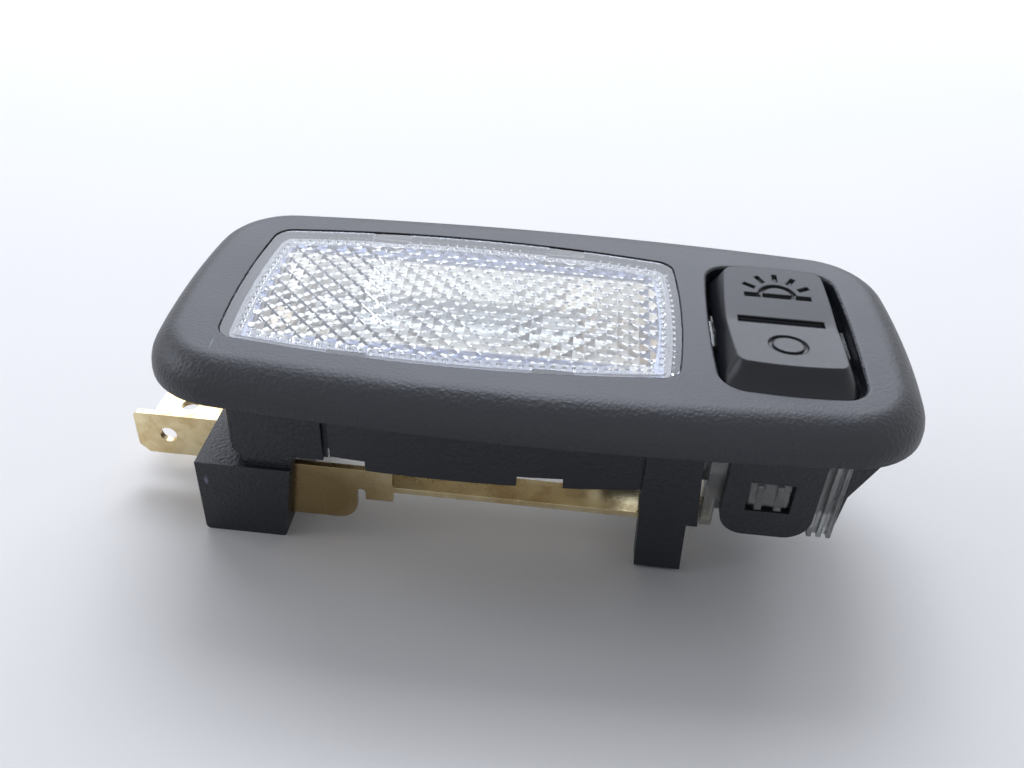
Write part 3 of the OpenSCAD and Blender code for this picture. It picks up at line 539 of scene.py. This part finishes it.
# The top's size is in metres
tableTop = {"colour": "#fbf7ef", "size": 6.0, "haze": 60.0, "roughLow": 0.5, "roughHigh": 0.62}


# A pale matt laminate table top, with a faint unevenness in its gloss
def makeTableTop(settings):
    half = settings["size"] / 2
    mesh = bpy.data.meshes.new("floor")
    mesh.from_pydata(
        [(-half, -half, 0), (half, -half, 0), (half, half, 0), (-half, half, 0)], [], [(0, 1, 2, 3)])
    floor = bpy.data.objects.new("floor", mesh)
    bpy.context.scene.collection.objects.link(floor)
    material, tree, shader, place = startMaterial(
        "pale laminate", Base_Color=linear(settings["colour"]), IOR=1.4)
    haze = addNode(
        tree, "ShaderNodeTexNoise", {"Scale": grains(settings["haze"]), "Detail": 2.0}, {"Vector": place})
    gloss = addNode(
        tree, "ShaderNodeMapRange", {"To Min": settings["roughLow"], "To Max": settings["roughHigh"]},
        {"Value": haze.outputs["Fac"]})
    tree.links.new(gloss.outputs[0], shader.inputs["Roughness"])
    mesh.materials.append(material)


# Strengths overhead and at the horizon, with the heights between which they blend, and what share of them
# is left on the camera's side, with the depths between which that blends. A height or depth is that part
# of a direction, from -1 to 1.
dome = {
    "colour": "#dde4f5", "overhead": 0.66, "horizon": 0.35, "lowest": 0.1, "highest": 0.9,
    "front": 0.3, "frontDepth": -0.7, "rearDepth": 0.5, "backdrop": "#fafcff",
}


# A studio dome: bright overhead, darker round the horizon and on the camera's side. The camera, gloss and
# glass see a plain white backdrop instead.
def makeDome(settings):
    world = bpy.data.worlds.new("studio")
    world.use_nodes = True
    tree = world.node_tree
    background = next(n for n in tree.nodes if n.type == "BACKGROUND")
    place = addNode(tree, "ShaderNodeTexCoord")
    way = addNode(tree, "ShaderNodeSeparateXYZ", None, {0: place.outputs["Generated"]})
    rise = addNode(
        tree, "ShaderNodeMapRange",
        {"From Min": settings["lowest"], "From Max": settings["highest"],
         "To Min": settings["horizon"], "To Max": settings["overhead"]},
        {"Value": way.outputs["Z"]})
    rear = addNode(
        tree, "ShaderNodeMapRange",
        {"From Min": settings["frontDepth"], "From Max": settings["rearDepth"],
         "To Min": settings["front"]},
        {"Value": way.outputs["Y"]})
    strength = addNode(
        tree, "ShaderNodeMath", {"operation": "MULTIPLY"}, {0: rise.outputs[0], 1: rear.outputs[0]})
    tree.links.new(strength.outputs[0], background.inputs["Strength"])
    background.inputs["Color"].default_value = linear(settings["colour"])
    plain = addNode(tree, "ShaderNodeBackground", {"Color": linear(settings["backdrop"])})
    ray = addNode(tree, "ShaderNodeLightPath")
    sharp = addNode(
        tree, "ShaderNodeMath", {"operation": "MAXIMUM"},
        {0: ray.outputs["Is Glossy Ray"], 1: ray.outputs["Is Transmission Ray"]})
    looked = addNode(
        tree, "ShaderNodeMath", {"operation": "MAXIMUM"},
        {0: ray.outputs["Is Camera Ray"], 1: sharp.outputs[0]})
    seen = addNode(
        tree, "ShaderNodeMixShader", None,
        {0: looked.outputs[0], 1: background.outputs[0], 2: plain.outputs[0]})
    output = next(n for n in tree.nodes if n.type == "OUTPUT_WORLD")
    tree.links.new(seen.outputs[0], output.inputs["Surface"])
    bpy.context.scene.world = world


# Distances and sizes are in metres. Azimuth 0 is behind the object, along +Y, and 90 is to its right.
lampColour = "#eaf0ff"
softboxes = [
    {"name": "rear softbox", "azimuth": -6, "elevation": 36, "distance": 1.4,
     "size": (1.9, 0.9), "radiance": 2.75},
    {"name": "key softbox", "azimuth": -4, "elevation": 56, "distance": 1.4,
     "size": (0.7, 0.5), "radiance": 5.0},
    {"name": "left softbox", "azimuth": -90, "elevation": 28, "distance": 1.4,
     "size": (0.9, 0.7), "radiance": 2.4},
]


# A rectangular lamp that faces the object. Its energy is the radiance times pi times its area.
def makeSoftbox(settings):
    lamp = bpy.data.lights.new(settings["name"], "AREA")
    lamp.shape = "RECTANGLE"
    lamp.size, lamp.size_y = settings["size"]
    lamp.energy = settings["radiance"] * math.pi * lamp.size * lamp.size_y
    lamp.color = linear(lampColour)[:3]
    around, up = math.radians(settings["azimuth"]), math.radians(settings["elevation"])
    away = np.array([math.sin(around) * math.cos(up), math.cos(around) * math.cos(up), math.sin(up)])
    side = np.array([math.cos(around), -math.sin(around), 0.0])
    top = np.cross(away, side)
    holder = bpy.data.objects.new(settings["name"], lamp)
    matrix = np.eye(4)
    matrix[:3, 0], matrix[:3, 1], matrix[:3, 2] = side, top, away
    matrix[:3, 3] = away * settings["distance"]
    holder.matrix_world = Matrix(matrix.tolist())
    bpy.context.scene.collection.objects.link(holder)


# The photograph's camera: its place in the frame, its turn in degrees, and its focal length in image
# widths
photoCamera = {
    "place": (6.44, -94.65, 87.29), "yaw": 3.552, "pitch": 36.981, "roll": -3.282,
    "focal": 955.6 / 1024, "sensor": 36, "clipStart": 5.0,
}


def makeCamera(settings):
    yaw, pitch, roll = (math.radians(settings[key]) for key in ("yaw", "pitch", "roll"))
    turn = Matrix.Rotation(yaw, 3, "Z") @ Matrix.Rotation(-pitch, 3, "X") @ Matrix.Rotation(roll, 3, "Y")
    right, forward, up = turn.col
    matrix = Matrix((right, up, -forward)).transposed().to_4x4()
    matrix.translation = [value * mm for value in settings["place"]]
    camera = bpy.data.cameras.new("photo camera")
    camera.sensor_width = settings["sensor"]
    camera.lens = settings["focal"] * settings["sensor"]
    camera.clip_start = settings["clipStart"] * mm
    holder = bpy.data.objects.new("photo camera", camera)
    holder.matrix_world = matrix
    bpy.context.scene.collection.objects.link(holder)
    bpy.context.scene.camera = holder


makeTableTop(tableTop)
makeDome(dome)
for settings in softboxes:
    makeSoftbox(settings)
makeCamera(photoCamera)
bpy.context.scene.view_settings.view_transform = "Standard"
print("stage and camera set")
